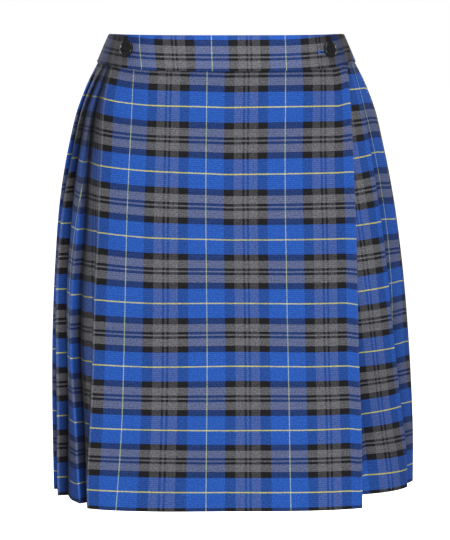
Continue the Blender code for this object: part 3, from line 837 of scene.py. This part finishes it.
class Graph:
    """Short calls for a material's node tree."""

    def __init__(self, name):
        self.material = bpy.data.materials.new(name)
        self.material.use_nodes = True
        self.tree = self.material.node_tree
        self.shader = self.tree.nodes["Principled BSDF"]

    def feed(self, node, inputs):
        """Links each input of a node, or sets it where the source is a number or a colour."""
        for socket, source in inputs:
            target = node.inputs[socket]
            if isinstance(source, (int, float)):
                target.default_value = source
            elif isinstance(source, tuple):
                target.default_value = (*source, 1.0)
            else:
                self.tree.links.new(source, target)

    def node(self, kind, *inputs, **settings):
        made = self.tree.nodes.new(kind)
        for key, value in settings.items():
            setattr(made, key, value)
        self.feed(made, inputs)
        return made

    def math(self, operation, *values):
        return self.node("ShaderNodeMath", *enumerate(values), operation=operation).outputs[0]

    def mix(self, share, a, b, blend="MIX"):
        inputs = ("Factor", share), (6, a), (7, b)
        return self.node("ShaderNodeMix", *inputs, data_type="RGBA", blend_type=blend).outputs[2]

    def place(self):
        return self.node("ShaderNodeNewGeometry").outputs["Position"]

    def attribute(self, name):
        return self.node("ShaderNodeAttribute", attribute_name=name).outputs["Fac"]

    def noise(self, vector, scale, detail=2.0):
        inputs = ("Vector", vector), ("Scale", scale), ("Detail", detail)
        return self.node("ShaderNodeTexNoise", *inputs).outputs["Fac"]

    def off_middle(self, value, size):
        """A value from 0 to 1, moved to lie round nought and scaled."""
        return self.math("MULTIPLY", self.math("SUBTRACT", value, 0.5), size)

    def bump(self, height, strength, distance):
        inputs = ("Height", height), ("Strength", strength), ("Distance", distance)
        return self.node("ShaderNodeBump", *inputs).outputs[0]

    def stripes(self, place, sett, yarns, period):
        """The yarn colour and heathering at a place along a sett, which fills each period."""
        whole = sum(width for _, width in sett)
        share = self.math("FRACT", self.math("DIVIDE", place, period))
        ramp = self.node("ShaderNodeValToRGB", (0, share))
        ramp.color_ramp.interpolation = "CONSTANT"
        elements = ramp.color_ramp.elements
        at = 0.0
        for i, (yarn, width) in enumerate(sett):
            element = elements[i] if i < 2 else elements.new(at / whole)
            element.position = at / whole
            element.color = yarns[yarn]
            at += width
        return ramp.outputs

    def finish(self, *inputs):
        """The material, once its shader's inputs are set."""
        self.feed(self.shader, inputs)
        return self.material


def tartan(name, painted_lightness):
    """Twill-woven tartan, laid out by the cloth's own places in metres."""
    g = Graph(name)
    uv = g.node("ShaderNodeUVMap", uv_map="Fabric").outputs[0]
    u, v, _ = g.node("ShaderNodeSeparateXYZ", (0, uv)).outputs

    # The yarns lie a little unevenly
    wander = g.off_middle(g.noise(uv, 900.0), YARN_WANDER)
    warp = g.stripes(g.math("ADD", u, wander), WARP_SETT, WARP_YARNS, WARP_PERIOD)
    weft = g.stripes(g.math("ADD", v, wander), WEFT_SETT, WEFT_YARNS, WEFT_PERIOD)

    # Twill: diagonal ribs where the warp comes to the face
    diagonal = g.math("MULTIPLY", g.math("ADD", u, v), 2 * pi / TWILL_PITCH)
    rib = g.math("MULTIPLY_ADD", g.math("SINE", diagonal), 0.5, 0.5)
    speckle = g.noise(uv, 700.0, 3.0)
    share = g.math("MULTIPLY_ADD", rib, RIB_SHARE, WARP_SHOWS - RIB_SHARE / 2)
    share = g.math("ADD", share, g.off_middle(speckle, SPECKLE_SHARE))
    cloth = g.mix(share, weft[0], warp[0])

    # Heathered yarn in rows of weft, and a slow change of tone over the cloth
    heather = g.mix(WARP_SHOWS, weft[1], warp[1])
    fleck = g.math("MULTIPLY", g.off_middle(g.noise(uv, 520.0, 3.0), 2 * FLECK), heather)
    row = g.math("SINE", g.math("MULTIPLY", v, 2 * pi / ROW_PITCH))
    grain = g.math("ADD", g.math("MULTIPLY_ADD", row, ROW_SHADE, fleck), 1.0)
    slow = g.noise(g.place(), 9.0)
    # Above one, this makes a lighter copy of the cloth, painted light for the band
    slow = g.math("MULTIPLY_ADD", slow, SLOW_TONE * painted_lightness, (1 - SLOW_TONE / 2) * painted_lightness)
    tone = g.math("MULTIPLY", g.math("MAXIMUM", grain, TONE_LEAST), slow)
    grey = g.node("ShaderNodeCombineColor", (0, tone), (1, tone), (2, tone)).outputs[0]
    cloth = g.mix(1.0, cloth, grey, "MULTIPLY")

    # Pressed edges are a little polished, and rubbed paler with a painted highlight; folds are
    # darker with painted shade
    wear_and_highlight = g.attribute("fold_wear_and_highlight")
    cloth = g.mix(g.math("MULTIPLY", wear_and_highlight, PRESSED_PALER), cloth, PRESSED_COLOUR)
    cloth = g.mix(g.math("MULTIPLY", g.attribute("fold_shade"), FOLD_DARKER), cloth, FOLD_COLOUR)
    rough = g.math("MULTIPLY_ADD", speckle, SPECKLE_ROUGH, CLOTH_ROUGH)
    return g.finish(
        ("Base Color", cloth),
        ("Roughness", g.math("SUBTRACT", rough, g.math("MULTIPLY", wear_and_highlight, WORN_SMOOTH))),
        ("Specular IOR Level", 0.08),
        ("Sheen Weight", 0.05),
        ("Sheen Roughness", 0.45),
        ("Normal", g.bump(g.math("ADD", rib, g.math("MULTIPLY", speckle, 0.8)), 0.35, 0.00025)),
    )


def button_plastic():
    """Black moulded plastic, glossy, with faint scuffs."""
    g = Graph("black_button_plastic")
    place = g.place()
    fine = g.noise(place, 900.0, 3.0)
    return g.finish(
        ("Base Color", g.mix(g.noise(place, 160.0), (0.010, 0.010, 0.012), (0.030, 0.028, 0.028))),
        ("Roughness", g.math("MULTIPLY_ADD", fine, 0.20, 0.10)),
        ("Normal", g.bump(fine, 0.15, 0.0002)),
    )


def sewing_thread(name, dark, light):
    """Twisted thread, finely mottled."""
    g = Graph(name)
    fine = g.noise(g.place(), 1400.0)
    colour, normal = g.mix(fine, dark, light), g.bump(fine, 0.4, 0.0001)
    return g.finish(("Base Color", colour), ("Roughness", 0.6), ("Normal", normal))


def floor_paint():
    g = Graph("pale_floor")
    tone = g.mix(g.noise(g.place(), 3.0), (0.90, 0.90, 0.90), (0.94, 0.94, 0.94))
    glow = ("Emission Color", (1.0, 1.0, 1.0)), ("Emission Strength", 0.95)
    return g.finish(("Base Color", tone), ("Roughness", 0.9), *glow)


# ---- buttons


def button_place(travel, height):
    """The button's middle on the band's outer face, turned so that it lies flat on it."""
    travel, height = np.array(travel), np.array(height)
    spot = on_form(travel, height, 0.0 * height)
    outward = left_of(ring_direction(travel, height))
    higher = height + BUTTON_TILT_REACH
    above = on_form(travel * perimeter(higher) / perimeter(height), higher, 0.0 * height)
    up = Vector((*(above - spot), BUTTON_TILT_REACH)).normalized()
    sideways = up.cross(Vector((*outward, 0.0))).normalized()
    facing = sideways.cross(up)
    turn = Matrix((sideways, up, facing)).transposed().to_4x4()
    place = Vector((*spot, float(height))) + facing * (BAND_WALL / 2 + BUTTON_STAND)
    return Matrix.Translation(place) @ turn


def button_profile():
    """Radius and height of the button's section, from its dish over its rim to its back."""
    dish, back = BUTTON_THICK - BUTTON_DISH, BUTTON_RADIUS * 0.985
    points = [(BUTTON_RADIUS * share, dish) for share in (0.0, 0.25, 0.45, 0.60, 0.70)]
    for i in range(BUTTON_STEPS + 1):
        share = i / BUTTON_STEPS
        rise = BUTTON_DISH * (1 - cos(pi * share)) / 2
        points.append((BUTTON_RADIUS - BUTTON_RIM * (1.25 - 0.75 * share), dish + rise))
    for i in range(1, BUTTON_STEPS + 1):
        a = pi / 2 * i / BUTTON_STEPS
        radius = BUTTON_RADIUS - BUTTON_RIM * 0.5 * (1 - sin(a))
        points.append((radius, BUTTON_THICK * (0.45 + 0.55 * cos(a))))
    return points + [(back, BUTTON_THICK * 0.2), (BUTTON_RADIUS * 0.9, 0.0), (0.0, 0.0)]


def button(name, travel, height):
    """A turned button with a soft rim, a dish and four holes."""
    points, quads, rings = [], [], []
    for radius, rise in button_profile():
        around = BUTTON_SIDES if radius else 1
        rings.append([len(points) + i % around for i in range(BUTTON_SIDES + 1)])
        for i in range(around):
            a = 2 * pi * i / BUTTON_SIDES
            points.append((radius * cos(a), radius * sin(a), rise))
    for upper, lower in zip(rings, rings[1:]):
        for i in range(BUTTON_SIDES):
            if upper[0] == upper[1]:
                quads.append((upper[0], lower[i], lower[i + 1]))
            elif lower[0] == lower[1]:
                quads.append((upper[i + 1], upper[i], lower[0]))
            else:
                quads.append((upper[i], lower[i], lower[i + 1], upper[i + 1]))
    obj = add(name, new_mesh(name, points, quads))
    obj.matrix_world = button_place(travel, height)

    cutters = []
    reach = BUTTON_HOLE_PITCH / 2 * 2**0.5
    for quarter in range(4):
        a = radians(45 + 90 * quarter)
        bpy.ops.mesh.primitive_cylinder_add(
            vertices=BUTTON_HOLE_SIDES, radius=BUTTON_HOLE_RADIUS, depth=BUTTON_THICK * 3,
            location=(reach * cos(a), reach * sin(a), BUTTON_THICK / 2),
        )
        cutter = bpy.context.object
        cutter.matrix_world = obj.matrix_world @ cutter.matrix_world
        cut = obj.modifiers.new("hole", "BOOLEAN")
        cut.object, cut.operation, cut.solver = cutter, "DIFFERENCE", "EXACT"
        cutters.append(cutter)
    bpy.context.view_layer.update()
    depsgraph = bpy.context.evaluated_depsgraph_get()
    finished = bpy.data.meshes.new_from_object(obj.evaluated_get(depsgraph))
    obj.modifiers.clear()
    obj.data = finished
    for cutter in cutters:
        bpy.data.objects.remove(cutter)
    finished.shade_smooth()
    finished.set_sharp_from_angle(angle=BUTTON_SHARP)
    return obj


def tube(name, centre, up, across, proud, closed):
    """A tube along a line of points, with its own half widths across and along the up side."""
    count = len(centre)
    ahead = np.roll(centre, -1, axis=0) - np.roll(centre, 1, axis=0)
    if not closed:
        ahead = np.gradient(centre, axis=0)
    sideways = unit(np.cross(unit(ahead), up))
    turn = 2 * pi * np.arange(TUBE_SIDES) / TUBE_SIDES
    across, proud = across * np.ones(count), proud * np.ones(count)
    points = (
        centre[:, None]
        + sideways[:, None] * (across[:, None] * np.cos(turn))[..., None]
        + up[:, None] * (proud[:, None] * np.sin(turn))[..., None]
    )
    index = np.arange(count * TUBE_SIDES).reshape(count, TUBE_SIDES)
    faces = []
    for i in range(count if closed else count - 1):
        a, b = index[i], index[(i + 1) % count]
        faces += np.stack([a, b, np.roll(b, -1), np.roll(a, -1)], axis=1).tolist()
    if not closed:
        faces += [index[0].tolist(), index[-1][::-1].tolist()]
    mesh = new_mesh(name, points.reshape(-1, 3).tolist(), faces)
    mesh.shade_smooth()
    return add(name, mesh)


def on_band(along, up, travel, height):
    """Points on the band's outer face from a button's middle, and their outward side."""
    at, z = travel + along, height + up
    inset = -BAND_WALL / 2 - band_pucker(at, z)
    return lifted(on_form(at, z, inset), z), lifted(left_of(ring_direction(at, z)), 0 * z)


def buttonhole(travel, height):
    """The stitched edge of a buttonhole, and a near-black tube in the slit inside it, as painted
    shadow.
    """
    length = HOLE_TO - HOLE_FROM - 2 * HOLE_HALF
    whole = 2 * length + 2 * pi * HOLE_HALF
    along, up = [], []
    for i in range(HOLE_STEPS):
        at = whole * i / HOLE_STEPS
        side = 1 if at < whole / 2 else -1
        run = at % (whole / 2)
        turn = max(0.0, run - length) / HOLE_HALF
        end = HOLE_HALF * sin(turn)
        middle = (HOLE_FROM + HOLE_TO) / 2
        along.append(middle + side * (min(run, length) - length / 2 + end))
        up.append(-HOLE_DROP - side * HOLE_HALF * cos(turn))
    along, up = np.array(along), np.array(up)
    centre, out = on_band(along, up, travel, height)
    stitches = np.sin(2 * pi * np.arange(HOLE_STEPS) * whole / HOLE_STEPS / STITCH_PITCH)
    radius = HOLE_EDGE_RADIUS * (1 + STITCH_RELIEF * stitches)
    edge = tube("buttonhole_edge", centre, out, radius, radius, True)

    share = np.linspace(0.0, 1.0, SLIT_STEPS)
    along = HOLE_FROM + HOLE_HALF / 2 + (HOLE_TO - HOLE_FROM - HOLE_HALF) * share
    centre, out = on_band(along, 0 * along - HOLE_DROP, travel, height)
    taper = np.sqrt(np.clip(np.sin(pi * share), SLIT_LEAST, 1.0))
    slit = tube("buttonhole_slit_shadow", centre, out, SLIT_ACROSS * taper, SLIT_PROUD * taper, False)
    return edge, slit


def button_threads(name, travel, height):
    """Two loops of thread through the button's holes."""
    place = button_place(travel, height)
    reach, dish = BUTTON_HOLE_PITCH / 2, BUTTON_THICK - BUTTON_DISH
    turn = np.linspace(0.0, pi, THREAD_STEPS)
    loops = []
    for side in (-1, 1):
        local = [
            (side * reach, -reach * cos(a), dish - THREAD_SUNK + THREAD_RISE * sin(a) ** 0.5)
            for a in turn
        ]
        centre = np.array([place @ Vector(point) for point in local])
        out = np.array([place.to_3x3() @ Vector((0.0, 0.0, 1.0))] * THREAD_STEPS)
        loops.append(tube(f"{name}_{len(loops)}", centre, out, THREAD_RADIUS, THREAD_RADIUS, False))
    return loops


# ---- the whole


def dress(piece, look, node=None):
    """Gives a piece its material and body, and hides the CAD node that it stands for, if any."""
    piece.data.materials.clear()
    piece.data.materials.append(look)
    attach(piece, "root")
    if node:
        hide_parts(node)


def build_cloth(look):
    path = cloth_path()
    centre, cuts = path[1], path[-1]
    turn, across = cuts[0, FACE_STEPS // 2], round(CUT_ACROSS * FACE_STEPS)
    left_back, back, back_right = (cuts[face, across] for face in CUT_FACES)
    stretches = (
        ("outer_apron", "apron_front", 0, turn),
        ("left_pleats", "pleats_left", turn, left_back),
        ("back_left_pleats", "pleats_back_left", left_back, back),
        ("back_right_pleats", "pleats_back_right", back, back_right),
        ("right_pleats", "pleats_right", back_right, cuts["under"]),
        ("inner_apron", "apron_under", cuts["under"], centre.shape[1] - 1),
    )
    for name, node, start, end in stretches:
        piece = cloth_piece(name, path, start, end)
        dress(piece, look, node)
        runs = centre[DROPS // 2, start : end + 1], centre[:, (start + end) // 2]
        flat = (float(np.linalg.norm(np.diff(run, axis=0), axis=1).sum()) for run in runs)
        tuple(flat)


def build_band(look):
    piece = band()
    dress(piece, look, "waistband")


def build_buttons(look):
    navy = sewing_thread("navy_thread", (0.004, 0.006, 0.016), (0.012, 0.020, 0.050))
    blue = sewing_thread("blue_thread", (0.020, 0.085, 0.420), (0.075, 0.260, 0.850))
    # The slit's near-black is a painted shadow, made like a thread
    shadow = sewing_thread("slit_shadow", (0.0015, 0.0015, 0.0025), (0.004, 0.004, 0.006))
    for (name, travel, height), node in zip(BUTTONS, ("button_left", "button_right")):
        dress(button(name, travel, height), look, node)
        for loop in button_threads(name + "_thread", travel, height):
            dress(loop, navy)
    for piece, thread in zip(buttonhole(*BUTTONS[1][1:]), (blue, shadow)):
        dress(piece, thread)


def area_light(name, place, size, watts):
    data = bpy.data.lights.new(name, "AREA")
    data.shape, data.size, data.energy = "DISK", size, watts
    light = add(name, data)
    light.location = place
    light.rotation_euler = (Vector(LIGHT_AIM) - light.location).to_track_quat("-Z", "Y").to_euler()


def studio():
    scene = bpy.context.scene
    scene.view_settings.view_transform = "Standard"
    world = bpy.data.worlds.new("studio")
    world.use_nodes = True
    tree = world.node_tree
    background = tree.nodes["Background"]
    background.inputs["Color"].default_value = (1.0, 1.0, 1.0, 1.0)
    path = tree.nodes.new("ShaderNodeLightPath")
    strength = tree.nodes.new("ShaderNodeMapRange")
    tree.links.new(path.outputs["Is Camera Ray"], strength.inputs["Value"])
    strength.inputs["To Min"].default_value = AMBIENT
    strength.inputs["To Max"].default_value = 1.0
    tree.links.new(strength.outputs[0], background.inputs["Strength"])
    scene.world = world

    bpy.ops.mesh.primitive_plane_add(size=FLOOR_SIZE, location=(0.0, 0.0, FLOOR))
    floor = bpy.context.object
    floor.name = "floor"
    floor.visible_diffuse = floor.visible_glossy = False
    floor.data.materials.append(floor_paint())

    for light in LIGHTS:
        area_light(*light)
    data = bpy.data.lights.new("top", "SUN")
    data.energy, data.angle = TOP_LIGHT, TOP_SPREAD
    add("top", data).rotation_euler = (TOP_TILT, 0.0, 0.0)

    data = bpy.data.cameras.new("camera")
    data.lens, data.sensor_width = CAMERA_LENS, CAMERA_SENSOR
    scene.camera = add("camera", data)
    scene.camera.location = CAMERA_PLACE
    scene.camera.rotation_euler = (radians(90 - CAMERA_DOWN), 0.0, 0.0)


studio()
build_cloth(tartan("tartan_twill", 1.0))
build_band(tartan("tartan_band", BAND_PAINTED_LIGHTNESS))
build_buttons(button_plastic())
